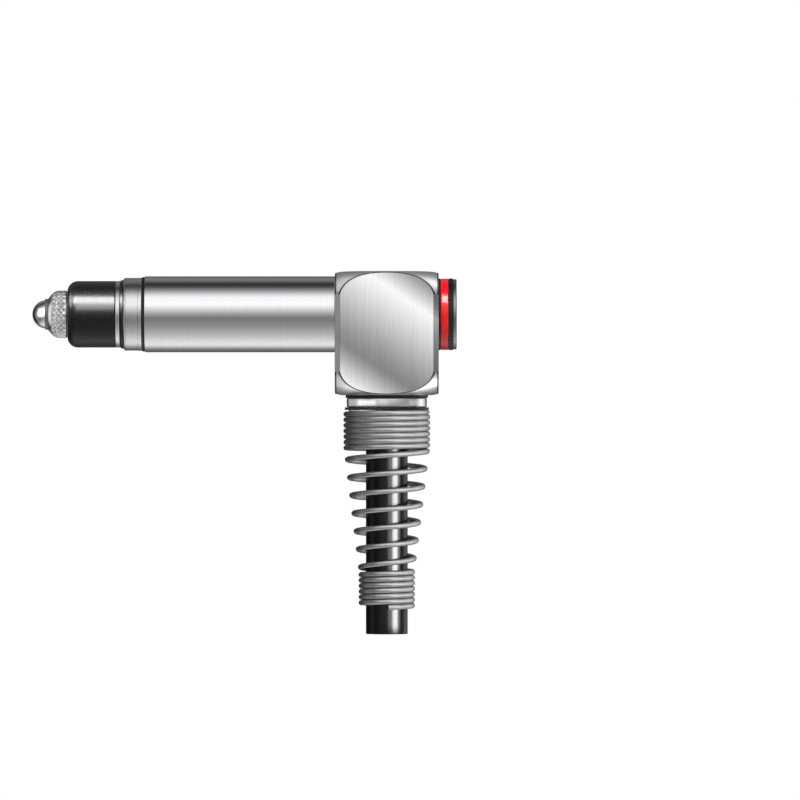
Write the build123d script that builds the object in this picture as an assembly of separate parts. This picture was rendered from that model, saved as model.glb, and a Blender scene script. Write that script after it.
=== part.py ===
# Linear gauge probe with a right-angle cable outlet, in millimetres.
# X runs along the probe, its contact ball points to -X, +Z is up and the cable leaves along -Z.
# The origin is in the middle of the bare stem, where a fixture clamps the probe.

import os
from math import cos, pi, radians, sin, sqrt, tan

from build123d import *

# Fits
slip = 0.02  # radial gap between a piece and the bore or pin that it is fitted to
run_gap = 0.15  # radial gap around a shaft or rod that passes through without being guided
ball_gap = 0.02  # gap between the guide balls and what they roll on
turn_gap = 0.02  # gap between the closed turns of the strain relief

# Clamp stem
stem_d = 8.0
stem_length = 20.0  # bare length between the front seal and the outlet block
stem_wall = 0.55
stem_insert_d = 7.6  # turned-down end of the tube, held in the outlet block

# Contact and plunger
travel = 2.0
tip_reach = 11.85  # from the front end of the bare stem to the tip of the ball
ball_d = 3.0
ball_seat_gap = 0.01
lip_reach = 0.15  # how far the crimped lip reaches in front of the ball's middle
lip_wall = 0.12
lip_length = 0.25
holder_d = 5.06
holder_length = 2.15  # from the ball's middle to the rear face
holder_cone = 50.0  # half angle of the conical front
holder_round = 0.6
holder_rear_round = 0.2
stud_d = 2.5
stud_length = 4.0
shaft_d = 4.0
shaft_tail = 2.0  # from the guide pin to the rear end of the shaft
pin_d = 0.8
pin_root = 0.7  # height of the pin's buried end above the axis
pin_tip_gap = 0.2  # from the pin's free end to the bore of the stem

# Gaiter and its clamp ring
gaiter_wall = 0.45
gaiter_nose_gap = 0.15  # from the nose of the bush to the inside of the gaiter
gaiter_gap = 0.05  # from the holder's rear face to the gaiter
gaiter_round = 0.9
gaiter_land = 0.3  # front part of the end wall, which sits on the full shaft
gaiter_lip = 0.4  # rear part of the end wall, which sits in the shaft's groove
gaiter_neck_wall = 0.29  # wall of the neck that the clamp ring squeezes
groove_depth = 0.25
bead_rise = 0.39  # height of the bead above the neck
bead_width = 0.3
clamp_ring_wall = 0.27
clamp_ring_width = 0.5

# Front bush
bush_d = 7.68
bush_length = 1.95
bush_chamfer = 0.2
nose_d = 5.8
nose_length = 1.6
bush_neck_d = 6.5
bush_shank = 2.15  # length screwed into the stem
front_seal_width = 0.3
front_seal_d = 7.68

# Ball guide
guide_ball_d = 0.8
guide_rows = 4
guide_balls_in_row = 6
cage_length = 4.2
cage_edge = 0.6  # from a cage end to its first row of balls
cage_wall = 0.44
cage_set = 0.4  # race left beyond the cage at either end of its travel

# Key sleeve and return spring
key_bore_gap = 0.2
return_wire_d = 0.25
return_spring_d = 3.5
return_turns = 6
seat_thickness = 0.5

# Transducer
rod_d = 1.0
rod_root_gap = 0.3  # from the guide pin to the buried end of the rod
core_d = 1.9
core_length = 3.0
core_nut_d = 1.6
core_nut_length = 0.4
bobbin_length = 6.2
bobbin_bore_gap = 0.2
bobbin_barrel_wall = 0.3
bobbin_flange = 0.35
bobbin_rim = 0.15  # height of the flanges above the windings
winding_count = 3
shield_wall = 0.51
board_gap = 0.3  # from the bobbin to the terminal board
board_edge_gap = 0.05
board_thickness = 0.4
terminal_pin_d = 0.3
terminal_inset = 0.4  # from the rim of the bobbin to the middle of its pins
terminal_pin_count = 4
solder_d = 0.9
solder_top_d = 0.56
solder_height = 0.35

# Outlet block
block_width = 10.9
block_rise = 4.5  # from the probe's axis to the top
block_drop = 8.53  # from the probe's axis to the bottom
block_edge = 0.55
crown_round = 2.9  # radius turned on the block's two ends
crown_margin = 0.03  # from the block's upright bevels to the turned circle
chamber_step = 0.15  # shoulder that the end of the stem rests on
cable_hole_gap = 0.05  # between the ferrule and the hole above the thread

# Rear plug and its rings
plug_shank_d = 6.6
plug_shank_hold = 2.55  # length of shank inside the block
plug_head_d = 7.4
plug_head_length = 0.55
plug_head_round = 0.18
rear_inner_ring_width = 0.2
marker_width = 0.85
rear_outer_ring_width = 0.3
rear_ring_d = 7.55
marker_d = 7.5

# Cable gland
collar_d = 8.44
collar_height = 0.98
collar_chamfer = 0.12
collar_seal_thickness = 0.27
collar_seal_d = 8.7
gland_thread_d = 6.8
gland_shank = 2.0  # from the collar's upper face to the top of the thread
gland_seal_height = 1.0
gland_washer_height = 0.4
gland_bore_gap = 0.1
spigot_round = 0.3
ferrule_height = 1.2
ferrule_wall = 0.23

# Strain relief spring
relief_d = 9.15  # outside diameter of the large closed turns
relief_tail_gap = 0.21  # between the cable and the small closed turns
relief_wire_d = 0.57
relief_gap = 0.3  # from the collar to the first turn
relief_top_turns = 6.6
relief_open_turns = 6.35
relief_tail_turns = 6.44
relief_pitch = 1.887
relief_ramp = 0.3  # turns over which the pitch changes
relief_start_angle = -90.0
relief_points = 16  # points of the wire's centre line in each turn

# Cable
cable_d = 4.4
jacket_wall = 0.45
braid_wall = 0.28
core_gap = 0.05
core_wall = 0.3
core_bend_gap = 0.35  # from the inside of a core's bend to its centre
core_lead = 0.07  # straight insulation between the front cores' bend and their bare ends
core_strip = 0.3  # bare end of each conductor
core_level = -1.6  # height at which the two front cores turn towards the board
core_rise = 2.32  # from there to where the two rear cores turn
jacket_top = 0.6  # jacket left above the ferrule
braid_top = 0.2  # braid left above the jacket
cable_stub = 2.57  # cable left below the strain relief

# Radii that several pieces share
stem_r = stem_d / 2
stem_bore_r = stem_r - stem_wall
stem_insert_r = stem_insert_d / 2
chamber_r = stem_insert_r - chamber_step
fitted_r = stem_bore_r - slip
shaft_r = shaft_d / 2
ball_r = ball_d / 2
pin_r = pin_d / 2
guide_ball_r = guide_ball_d / 2
guide_circle_r = shaft_r + ball_gap + guide_ball_r
race_bore_r = guide_circle_r + guide_ball_r + ball_gap
nose_r = nose_d / 2
gaiter_r = nose_r + gaiter_nose_gap + gaiter_wall
gaiter_grip_r = nose_r + slip
gaiter_neck_r = gaiter_grip_r + gaiter_neck_wall
clamp_ring_bore_r = gaiter_neck_r + slip
rod_r = rod_d / 2
core_r = core_d / 2
barrel_bore_r = core_r + bobbin_bore_gap
barrel_r = barrel_bore_r + bobbin_barrel_wall
flange_r = fitted_r - shield_wall - slip
winding_r = flange_r - bobbin_rim
cable_r = cable_d / 2
ferrule_bore_r = cable_r + slip
ferrule_r = ferrule_bore_r + ferrule_wall
relief_wire_r = relief_wire_d / 2
relief_r = relief_d / 2 - relief_wire_r
relief_tail_r = cable_r + relief_tail_gap + relief_wire_r
plug_shank_r = plug_shank_d / 2
crown_r = sqrt((block_width / 2) ** 2 + (block_width / 2 - block_edge) ** 2) + crown_margin
braid_r = cable_r - jacket_wall - slip
core_wire_r = (braid_r - braid_wall - core_gap) / (1 + sqrt(2))  # four of these fill the braid
core_offset = core_wire_r + slip
core_bend_r = core_wire_r + core_bend_gap

# Lengths that follow from others
race_length = cage_length + travel / 2 + 2 * cage_set
closed_pitch = relief_wire_d + turn_gap
spigot_length = relief_gap + relief_top_turns * closed_pitch

# Places along X, from front to rear
x_stem_front = -stem_length / 2
x_block_front = stem_length / 2
x_tip = x_stem_front - tip_reach
x_ball = x_tip + ball_r
x_holder_rear = x_ball + holder_length
x_gaiter = x_holder_rear + gaiter_gap
x_groove = x_gaiter + gaiter_land
x_bush_rear = x_stem_front - front_seal_width
x_bush_front = x_bush_rear - bush_length
x_bead = x_bush_front - bead_width
x_clamp_ring = x_bead - slip - clamp_ring_width
x_race = x_stem_front + bush_shank
x_race_rear = x_race + race_length
x_cage = x_race + cage_set
x_pin = x_race_rear + pin_r + slip
x_rod = x_pin + pin_r + rod_root_gap
x_shaft_rear = x_pin + shaft_tail
x_cable = x_block_front + block_width / 2
x_joints_rear = x_cable - core_offset - core_bend_r - core_lead - core_strip
x_board_rear = x_joints_rear - solder_height
x_tube_end = x_board_rear - board_thickness
x_bobbin_rear = x_tube_end - board_gap
x_bobbin = x_bobbin_rear - bobbin_length
x_seat = x_bobbin - seat_thickness
x_core = x_bobbin + bobbin_length / 2 - travel / 2 - core_length / 2
x_core_nut = x_core + core_length
x_block_rear = x_block_front + block_width
x_plug = x_block_rear - plug_shank_hold
x_marker = x_block_rear + rear_inner_ring_width
x_outer_ring = x_marker + marker_width
x_plug_head = x_outer_ring + rear_outer_ring_width

# Heights along Z, from the block's lower face down and up
z_block_bottom = -block_drop
z_collar = z_block_bottom - collar_seal_thickness
z_spigot = z_collar - collar_height
z_shank_top = z_collar + gland_shank
z_washer = z_shank_top + gland_seal_height
z_thread_top = z_washer + gland_washer_height
z_jacket_top = z_thread_top + ferrule_height + jacket_top


def outline(points, rounds):
    """A closed outline through points; rounds are (point index, radius)."""
    face = make_face(Polyline(*points, close=True))
    for index, radius in rounds:
        corner = face.vertices().sort_by_distance((*points[index], 0))[0]
        face = fillet(corner, radius)
    return face


def turned_x(points, rounds=()):
    """Turn an outline of (x, radius) points about the probe's axis."""
    return revolve(outline(points, rounds), Axis.X)


def turned_z(points, rounds=()):
    """Turn an outline of (radius, z) points about the cable's axis."""
    return Pos(x_cable, 0, 0) * revolve(Plane.XZ * outline(points, rounds), Axis.Z)


def ring_x(outer_r, inner_r, x, length):
    """A plain tube along the probe's axis that starts at x."""
    return turned_x([(x, inner_r), (x + length, inner_r), (x + length, outer_r), (x, outer_r)])


def ring_z(outer_r, inner_r, z, height):
    """A plain tube along the cable's axis that starts at z and goes up."""
    return turned_z([(inner_r, z), (outer_r, z), (outer_r, z + height), (inner_r, z + height)])


def rod_x(radius, x, length, y=0, z=0):
    """A plain rod along X."""
    return Pos(x + length / 2, y, z) * Rot(0, 90, 0) * Cylinder(radius, length)


# Plunger


def contact_ball():
    return Pos(x_ball, 0, 0) * Sphere(ball_r)


def contact_holder():
    x_lip = x_ball - lip_reach
    lip_r = sqrt((ball_r + ball_seat_gap) ** 2 - lip_reach**2) + lip_wall
    holder_r = holder_d / 2
    x_shoulder = x_lip + lip_length + (holder_r - lip_r) / tan(radians(holder_cone))
    points = [
        (x_lip, 0),
        (x_lip, lip_r),
        (x_lip + lip_length, lip_r),
        (x_shoulder, holder_r),
        (x_holder_rear, holder_r),
        (x_holder_rear, stud_d / 2),
        (x_holder_rear + stud_length, stud_d / 2),
        (x_holder_rear + stud_length, 0),
    ]
    holder = turned_x(points, [(3, holder_round), (4, holder_rear_round)])
    return holder - Pos(x_ball, 0, 0) * Sphere(ball_r + ball_seat_gap)


def plunger_shaft():
    shaft = rod_x(shaft_r, x_holder_rear, x_shaft_rear - x_holder_rear)
    groove = ring_x(
        shaft_r + groove_depth, shaft_r - groove_depth, x_groove - slip, gaiter_lip + 2 * slip
    )
    stud_hole = rod_x(stud_d / 2 + slip, x_holder_rear, stud_length + slip)
    pin_hole = Pos(x_pin, 0, pin_root + shaft_r / 2) * Cylinder(pin_r + slip, shaft_r)
    rod_hole = rod_x(rod_r + slip, x_rod, x_shaft_rear - x_rod)
    return shaft - groove - stud_hole - pin_hole - rod_hole


def guide_pin():
    length = stem_bore_r - pin_tip_gap - pin_root
    return Pos(x_pin, 0, pin_root + length / 2) * Cylinder(pin_r, length)


def core_rod():
    return rod_x(rod_r, x_rod, x_core_nut + core_nut_length - x_rod)


def magnetic_core():
    return ring_x(core_r, rod_r + slip, x_core, core_length)


def core_nut():
    return ring_x(core_nut_d / 2, rod_r + slip, x_core_nut, core_nut_length)


# Ball guide


def ball_places():
    """Places of the guide balls: rows along the cage, each turned half a step from the last."""
    row_pitch = (cage_length - 2 * cage_edge) / (guide_rows - 1)
    step = 360 / guide_balls_in_row
    return [
        (x_cage + cage_edge + row * row_pitch, (number + row % 2 / 2) * step)
        for row in range(guide_rows)
        for number in range(guide_balls_in_row)
    ]


def guide_balls():
    balls = [
        Pos(x, guide_circle_r * cos(radians(angle)), guide_circle_r * sin(radians(angle)))
        * Sphere(guide_ball_r)
        for x, angle in ball_places()
    ]
    return Compound(children=balls)


def ball_cage():
    cage = ring_x(guide_circle_r + cage_wall / 2, guide_circle_r - cage_wall / 2, x_cage, cage_length)
    pocket = Pos(0, guide_circle_r, 0) * Rot(90, 0, 0) * Cylinder(guide_ball_r + ball_gap, 2 * cage_wall)
    return cage - [Pos(x, 0, 0) * Rot(angle, 0, 0) * pocket for x, angle in ball_places()]


def guide_race():
    return ring_x(fitted_r, race_bore_r, x_race, race_length)


# Front end of the housing


def gaiter():
    inner_r = gaiter_r - gaiter_wall
    bead_r = gaiter_neck_r + bead_rise
    x_wall = x_groove + gaiter_lip
    x_neck = x_clamp_ring - slip
    points = [
        (x_gaiter, gaiter_r),
        (x_gaiter, shaft_r + slip),
        (x_groove, shaft_r + slip),
        (x_groove, shaft_r - groove_depth + slip),
        (x_wall, shaft_r - groove_depth + slip),
        (x_wall, inner_r),
        (x_neck, inner_r),
        (x_neck, gaiter_grip_r),
        (x_bush_front, gaiter_grip_r),
        (x_bush_front, bead_r),
        (x_bead, bead_r),
        (x_bead, gaiter_neck_r),
        (x_neck, gaiter_neck_r),
        (x_neck, gaiter_r),
    ]
    return turned_x(points, [(0, gaiter_round), (5, gaiter_round - gaiter_wall)])


def gaiter_clamp_ring():
    outer_r = clamp_ring_bore_r + clamp_ring_wall
    return ring_x(outer_r, clamp_ring_bore_r, x_clamp_ring, clamp_ring_width)


def front_bush():
    bush_r = bush_d / 2
    neck_r = bush_neck_d / 2
    bore_r = shaft_r + run_gap
    points = [
        (x_bush_front - nose_length, bore_r),
        (x_bush_front - nose_length, nose_r),
        (x_bush_front, nose_r),
        (x_bush_front, bush_r - bush_chamfer),
        (x_bush_front + bush_chamfer, bush_r),
        (x_bush_rear, bush_r),
        (x_bush_rear, neck_r),
        (x_stem_front, neck_r),
        (x_stem_front, fitted_r),
        (x_race, fitted_r),
        (x_race, bore_r),
    ]
    return turned_x(points)


def front_seal_ring():
    return ring_x(front_seal_d / 2, bush_neck_d / 2 + slip, x_bush_rear, front_seal_width)


# Inside the stem


def stem_tube():
    tube = ring_x(stem_r, stem_bore_r, x_stem_front, stem_length)
    return tube + ring_x(stem_insert_r, stem_bore_r, x_block_front, x_tube_end - x_block_front)


def key_sleeve():
    """Sleeve whose slot, open at the front, guides the pin and stops it at full travel."""
    sleeve = ring_x(fitted_r, shaft_r + key_bore_gap, x_race_rear, x_seat - x_race_rear)
    slot_r = pin_r + slip
    x_slot_end = x_pin + travel
    length = x_slot_end - x_race_rear
    slot = Pos(x_race_rear + length / 2, 0, stem_r / 2) * Box(length, 2 * slot_r, stem_r)
    slot_end = Pos(x_slot_end, 0, stem_r / 2) * Cylinder(slot_r, stem_r)
    return sleeve - slot - slot_end


def return_spring():
    wire_r = return_wire_d / 2
    radius = return_spring_d / 2 - wire_r
    height = x_seat - x_shaft_rear - return_wire_d
    path = Helix(height / return_turns, height, radius, (x_shaft_rear + wire_r, 0, 0), (1, 0, 0))
    section = Plane(origin=path @ 0, z_dir=path % 0) * Circle(wire_r)
    return sweep(section, path=path, is_frenet=True)


def spring_seat():
    return ring_x(fitted_r, rod_r + run_gap, x_seat, seat_thickness)


# Transducer


def winding_width():
    return (bobbin_length - (winding_count + 1) * bobbin_flange) / winding_count


def coil_bobbin():
    barrel = ring_x(barrel_r, barrel_bore_r, x_bobbin, bobbin_length)
    pitch = bobbin_flange + winding_width()
    for number in range(winding_count + 1):
        barrel += ring_x(flange_r, barrel_bore_r, x_bobbin + number * pitch, bobbin_flange)
    holes = [
        rod_x(terminal_pin_d / 2 + slip, x_bobbin_rear - bobbin_flange, bobbin_flange, y, z)
        for y, z in terminal_places()
    ]
    return barrel - holes


def coil(number):
    """One winding, counted from the front of the bobbin."""
    x = x_bobbin + bobbin_flange + number * (bobbin_flange + winding_width())
    return ring_x(winding_r, barrel_r + slip, x, winding_width())


def shield_sleeve():
    return ring_x(fitted_r, flange_r + slip, x_bobbin, x_tube_end - x_bobbin)


def terminal_places():
    """Places (y, z) of the bobbin's pins on the terminal board."""
    step = 2 * pi / terminal_pin_count
    angles = [(number + 0.5) * step for number in range(terminal_pin_count)]
    radius = flange_r - terminal_inset
    return [(radius * cos(angle), radius * sin(angle)) for angle in angles]


def terminal_pins():
    x = x_bobbin_rear - bobbin_flange
    pins = [rod_x(terminal_pin_d / 2, x, x_board_rear - x, y, z) for y, z in terminal_places()]
    return Compound(children=pins)


def terminal_board():
    board = rod_x(chamber_r - board_edge_gap, x_tube_end, board_thickness)
    holes = [
        rod_x(terminal_pin_d / 2 + slip, x_tube_end, board_thickness, y, z)
        for y, z in terminal_places()
    ]
    return board - holes


def solder_joints():
    places = terminal_places() + [(y, z) for _, y, z in core_places()]
    joint = Rot(0, 90, 0) * Cone(solder_d / 2, solder_top_d / 2, solder_height)
    x = x_board_rear + solder_height / 2
    return Compound(children=[Pos(x, y, z) * joint for y, z in places])


# Outlet block and rear plug


def outlet_block():
    height = block_rise + block_drop
    block = Box(block_width, block_width, height)
    block = chamfer(block.edges().filter_by(Axis.Z), block_edge)
    block = Pos(x_cable, 0, block_rise - height / 2) * block
    crown = [(0, z_block_bottom), (crown_r, z_block_bottom), (crown_r, block_rise), (0, block_rise)]
    block = block & turned_z(crown, [(1, crown_round), (2, crown_round)])
    socket = rod_x(stem_insert_r + slip, x_block_front, x_tube_end - x_block_front)
    chamber = rod_x(chamber_r, x_tube_end, x_plug - x_tube_end)
    plug_hole = rod_x(plug_shank_r + slip, x_plug, plug_shank_hold)
    hole_r = ferrule_r + cable_hole_gap
    cable_hole = Pos(x_cable, 0, z_thread_top / 2) * Cylinder(hole_r, -z_thread_top)
    thread_height = z_thread_top - z_block_bottom
    thread = Cylinder(gland_thread_d / 2 + slip, thread_height)
    thread = Pos(x_cable, 0, z_block_bottom + thread_height / 2) * thread
    return block - socket - chamber - plug_hole - cable_hole - thread


def rear_plug():
    head_r = plug_head_d / 2
    x_end = x_plug_head + plug_head_length
    points = [
        (x_plug, 0),
        (x_plug, plug_shank_r),
        (x_plug_head, plug_shank_r),
        (x_plug_head, head_r),
        (x_end, head_r),
        (x_end, 0),
    ]
    return turned_x(points, [(3, plug_head_round / 2), (4, plug_head_round)])


def rear_ring(diameter, x, width):
    return ring_x(diameter / 2, plug_shank_r + slip, x, width)


# Gland, strain relief and cable


def gland_body():
    bore_r = cable_r + gland_bore_gap
    thread_r = gland_thread_d / 2
    collar_r = collar_d / 2
    spigot_r = relief_r - relief_wire_r - slip
    z_end = z_spigot - spigot_length
    points = [
        (bore_r, z_shank_top),
        (bore_r, z_end),
        (spigot_r, z_end),
        (spigot_r, z_spigot),
        (collar_r - collar_chamfer, z_spigot),
        (collar_r, z_spigot + collar_chamfer),
        (collar_r, z_collar - collar_chamfer),
        (collar_r - collar_chamfer, z_collar),
        (thread_r, z_collar),
        (thread_r, z_shank_top),
    ]
    return turned_z(points, [(1, spigot_round), (2, spigot_round)])


def collar_seal():
    return ring_z(collar_seal_d / 2, gland_thread_d / 2 + slip, z_collar, collar_seal_thickness)


def gland_seal():
    return ring_z(gland_thread_d / 2, cable_r + slip, z_shank_top, gland_seal_height)


def gland_washer():
    return ring_z(gland_thread_d / 2, cable_r + gland_bore_gap, z_washer, gland_washer_height)


def cable_ferrule():
    return ring_z(ferrule_r, ferrule_bore_r, z_thread_top, ferrule_height)


def relief_line():
    """Points of the wire's centre line, from the collar down: closed, open and closed turns."""
    zones = [
        (relief_top_turns, closed_pitch, closed_pitch),
        (relief_ramp, closed_pitch, relief_pitch),
        (relief_open_turns, relief_pitch, relief_pitch),
        (relief_ramp, relief_pitch, closed_pitch),
        (relief_tail_turns, closed_pitch, closed_pitch),
    ]
    taper_start = relief_top_turns
    taper_turns = relief_open_turns + 2 * relief_ramp
    turn = 0.0
    z = z_spigot - relief_gap - relief_wire_r
    points = []
    for turns, pitch, end_pitch in zones:
        steps = round(turns * relief_points)
        for step in range(steps):
            part = step / steps
            here = turn + turns * part
            taper = min(max((here - taper_start) / taper_turns, 0), 1)
            radius = relief_r + (relief_tail_r - relief_r) * taper
            angle = radians(relief_start_angle) - 2 * pi * here
            drop = turns * part * (pitch + (end_pitch - pitch) * part / 2)
            points.append((x_cable + radius * cos(angle), radius * sin(angle), z - drop))
        turn += turns
        z -= turns * (pitch + end_pitch) / 2
    angle = radians(relief_start_angle) - 2 * pi * turn
    points.append((x_cable + relief_tail_r * cos(angle), relief_tail_r * sin(angle), z))
    return points


def strain_relief_spring():
    path = Spline(*relief_line())
    section = Plane(origin=path @ 0, z_dir=path % 0) * Circle(relief_wire_r)
    return sweep(section, path=path, is_frenet=True)


def cable_end():
    """Height of the cable's flat cut, below the last turn of the strain relief."""
    return relief_line()[-1][2] - relief_wire_r - cable_stub


def cable_jacket():
    z = cable_end()
    return ring_z(cable_r, cable_r - jacket_wall, z, z_jacket_top - z)


def cable_braid():
    z = cable_end()
    return ring_z(braid_r, braid_r - braid_wall, z, z_jacket_top + braid_top - z)


def core_places():
    """Each core's X at the cable, Y, and the height at which it turns towards the board."""
    rows = [
        (x_cable - core_offset, core_level),
        (x_cable + core_offset, core_level + core_rise),
    ]
    return [(x, y, z) for x, z in rows for y in (core_offset, -core_offset)]


def core_path(place, x_end):
    x, y, z = place
    return FilletPolyline((x, y, cable_end()), (x, y, z), (x_end, y, z), radius=core_bend_r)


def core_wire(place):
    """Insulation of one core."""
    path = core_path(place, x_joints_rear + core_strip)
    section = Circle(core_wire_r) - Circle(core_wire_r - core_wall + slip)
    return sweep(Plane(origin=path @ 0, z_dir=path % 0) * section, path=path)


def core_conductors():
    wires = []
    for place in core_places():
        path = core_path(place, x_joints_rear)
        section = Plane(origin=path @ 0, z_dir=path % 0) * Circle(core_wire_r - core_wall)
        wires.append(sweep(section, path=path))
    return Compound(children=wires)


pieces = {
    "contact_ball": contact_ball(),
    "contact_holder": contact_holder(),
    "plunger_shaft": plunger_shaft(),
    "guide_pin": guide_pin(),
    "core_rod": core_rod(),
    "magnetic_core": magnetic_core(),
    "core_nut": core_nut(),
    "guide_balls": guide_balls(),
    "ball_cage": ball_cage(),
    "guide_race": guide_race(),
    "gaiter": gaiter(),
    "gaiter_clamp_ring": gaiter_clamp_ring(),
    "front_bush": front_bush(),
    "front_seal_ring": front_seal_ring(),
    "stem_tube": stem_tube(),
    "key_sleeve": key_sleeve(),
    "return_spring": return_spring(),
    "spring_seat": spring_seat(),
    "coil_bobbin": coil_bobbin(),
    "secondary_coil_front": coil(0),
    "primary_coil": coil(1),
    "secondary_coil_rear": coil(2),
    "shield_sleeve": shield_sleeve(),
    "terminal_pins": terminal_pins(),
    "terminal_board": terminal_board(),
    "solder_joints": solder_joints(),
    "outlet_block": outlet_block(),
    "rear_plug": rear_plug(),
    "rear_seal_ring_inner": rear_ring(rear_ring_d, x_block_rear, rear_inner_ring_width),
    "marker_ring": rear_ring(marker_d, x_marker, marker_width),
    "rear_seal_ring_outer": rear_ring(rear_ring_d, x_outer_ring, rear_outer_ring_width),
    "gland_body": gland_body(),
    "collar_seal": collar_seal(),
    "gland_seal": gland_seal(),
    "gland_washer": gland_washer(),
    "cable_ferrule": cable_ferrule(),
    "strain_relief_spring": strain_relief_spring(),
    "cable_jacket": cable_jacket(),
    "cable_braid": cable_braid(),
    "core_conductors": core_conductors(),
}
for number, place in enumerate(core_places(), 1):
    pieces[f"core_wire_{number}"] = core_wire(place)

os.makedirs("parts", exist_ok=True)
for name, piece in pieces.items():
    export_step(piece, f"parts/{name}.step")
print("cable from", round(z_jacket_top, 3), "to", round(cable_end(), 3))
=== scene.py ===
from math import cos, pi, radians, sin

import bmesh
import bpy
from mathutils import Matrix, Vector


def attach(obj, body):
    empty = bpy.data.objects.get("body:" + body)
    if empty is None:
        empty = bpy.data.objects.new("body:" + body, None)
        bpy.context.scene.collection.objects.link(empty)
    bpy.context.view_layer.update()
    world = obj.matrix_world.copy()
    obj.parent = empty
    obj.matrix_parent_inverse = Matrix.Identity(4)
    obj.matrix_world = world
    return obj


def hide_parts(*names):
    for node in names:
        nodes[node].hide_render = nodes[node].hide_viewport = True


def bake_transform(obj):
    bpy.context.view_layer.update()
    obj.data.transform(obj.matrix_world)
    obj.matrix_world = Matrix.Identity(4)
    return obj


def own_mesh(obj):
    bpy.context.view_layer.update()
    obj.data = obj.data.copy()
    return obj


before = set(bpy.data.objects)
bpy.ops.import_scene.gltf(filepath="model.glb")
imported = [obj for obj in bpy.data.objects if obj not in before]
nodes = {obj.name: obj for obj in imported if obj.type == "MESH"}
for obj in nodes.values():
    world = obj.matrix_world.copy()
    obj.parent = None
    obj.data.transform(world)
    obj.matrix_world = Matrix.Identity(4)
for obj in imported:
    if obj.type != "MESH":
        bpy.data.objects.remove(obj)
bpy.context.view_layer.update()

mm = 0.001
cableX = 15.45  # the cable's upright axis crosses the probe's axis here, in mm
samePoint = 1e-6  # vertices nearer to each other than this, in metres, are one point
print("frame loaded, nodes:", len(nodes))


# Working helpers

def makeActive(piece):
    bpy.ops.object.select_all(action="DESELECT")
    piece.select_set(True)
    bpy.context.view_layer.objects.active = piece


def editPiece(piece, selectMode="EDGE"):
    makeActive(piece)
    bpy.ops.object.mode_set(mode="EDIT")
    bpy.ops.mesh.select_mode(type=selectMode)
    bpy.ops.mesh.select_all(action="DESELECT")


def selectWhere(piece, kind, wanted):
    # kind is verts, edges or faces of the mesh in edit mode
    mesh = bmesh.from_edit_mesh(piece.data)
    for element in getattr(mesh, kind):
        if wanted(element):
            element.select_set(True)
    mesh.select_flush_mode()
    bmesh.update_edit_mesh(piece.data)


def applyModifier(piece, kind, **settings):
    makeActive(piece)
    modifier = piece.modifiers.new(kind.lower(), kind)
    for key, value in settings.items():
        setattr(modifier, key, value)
    bpy.ops.object.modifier_apply(modifier=modifier.name)


def smoothFaces(piece):
    # large faces keep their own normals, so small bevels don't bend the reflections in them
    sharpest = 32  # degrees
    makeActive(piece)
    bpy.ops.object.shade_smooth_by_angle(angle=radians(sharpest))
    applyModifier(piece, "WEIGHTED_NORMAL", mode="FACE_AREA", weight=100, keep_sharp=True)


def softenEdges(piece, width, segments=3, angle=30, material=-1):
    applyModifier(piece, "BEVEL", width=width * mm, segments=segments, limit_method="ANGLE",
                  angle_limit=radians(angle), material=material)
    smoothFaces(piece)


def onAxis(axis, along, radius):
    if axis == "X":
        return Vector((along, 0, radius)) * mm
    return Vector((cableX + radius, 0, along)) * mm


def turned(name, outline, axis="X", segments=160):
    # the outline's points are (along the axis, radius) in mm, drawn by extruding one vertex
    bpy.ops.mesh.primitive_plane_add(size=mm)
    piece = bpy.context.active_object
    piece.name = piece.data.name = name
    bpy.ops.object.mode_set(mode="EDIT")
    bpy.ops.mesh.select_mode(type="VERT")
    bpy.ops.mesh.select_all(action="SELECT")
    bpy.ops.mesh.merge(type="CENTER")
    bpy.ops.transform.translate(value=onAxis(axis, *outline[0]))
    for before, after in zip(outline, outline[1:]):
        step = onAxis(axis, *after) - onAxis(axis, *before)
        bpy.ops.mesh.extrude_region_move(TRANSFORM_OT_translate={"value": step})
    bpy.ops.mesh.select_all(action="DESELECT")
    ends = (onAxis(axis, *outline[0]), onAxis(axis, *outline[-1]))
    selectWhere(piece, "verts", lambda v: min((v.co - end).length for end in ends) < samePoint)
    bpy.ops.mesh.edge_face_add()
    bpy.ops.mesh.select_all(action="SELECT")
    centre = (0, 0, 0) if axis == "X" else (cableX * mm, 0, 0)
    direction = (1, 0, 0) if axis == "X" else (0, 0, 1)
    bpy.ops.mesh.spin(steps=segments, angle=2 * pi, center=centre, axis=direction)
    bpy.ops.mesh.select_all(action="SELECT")
    bpy.ops.mesh.remove_doubles(threshold=samePoint)
    bpy.ops.mesh.delete_loose()  # an outline that ends on the axis leaves a loose edge along it
    bpy.ops.mesh.select_all(action="SELECT")
    bpy.ops.mesh.normals_make_consistent(inside=False)
    bpy.ops.object.mode_set(mode="OBJECT")
    return piece


def outlineOf(values, *parts):
    # the named parts of an outline, one after the other
    return [point for part in parts for point in values[part]]


def isOnRing(point, axis, along, radius):
    near = 0.005  # mm
    if axis == "X":
        height, across = point.x / mm, Vector((point.y, point.z)).length / mm
    else:
        height, across = point.z / mm, Vector((point.x / mm - cableX, point.y / mm)).length
    return abs(height - along) < near and abs(across - radius) < near


def roundCorner(piece, along, radius, width, segments, axis="X"):
    editPiece(piece)
    selectWhere(piece, "edges",
                lambda e: all(isOnRing(v.co, axis, along, radius) for v in e.verts))
    bpy.ops.mesh.bevel(offset=width * mm, segments=segments, affect="EDGES")
    bpy.ops.object.mode_set(mode="OBJECT")


def squareRing(name, ring, axis="X"):
    # a ring of rectangular section with softened corners
    start, end, radius, bore = ring["from"], ring["to"], ring["radius"], ring["bore"]
    section = [(start, bore), (start, radius), (end, radius), (end, bore)]
    piece = turned(name, section, axis, segments=192)
    softenEdges(piece, ring["soft"])
    return piece


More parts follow.
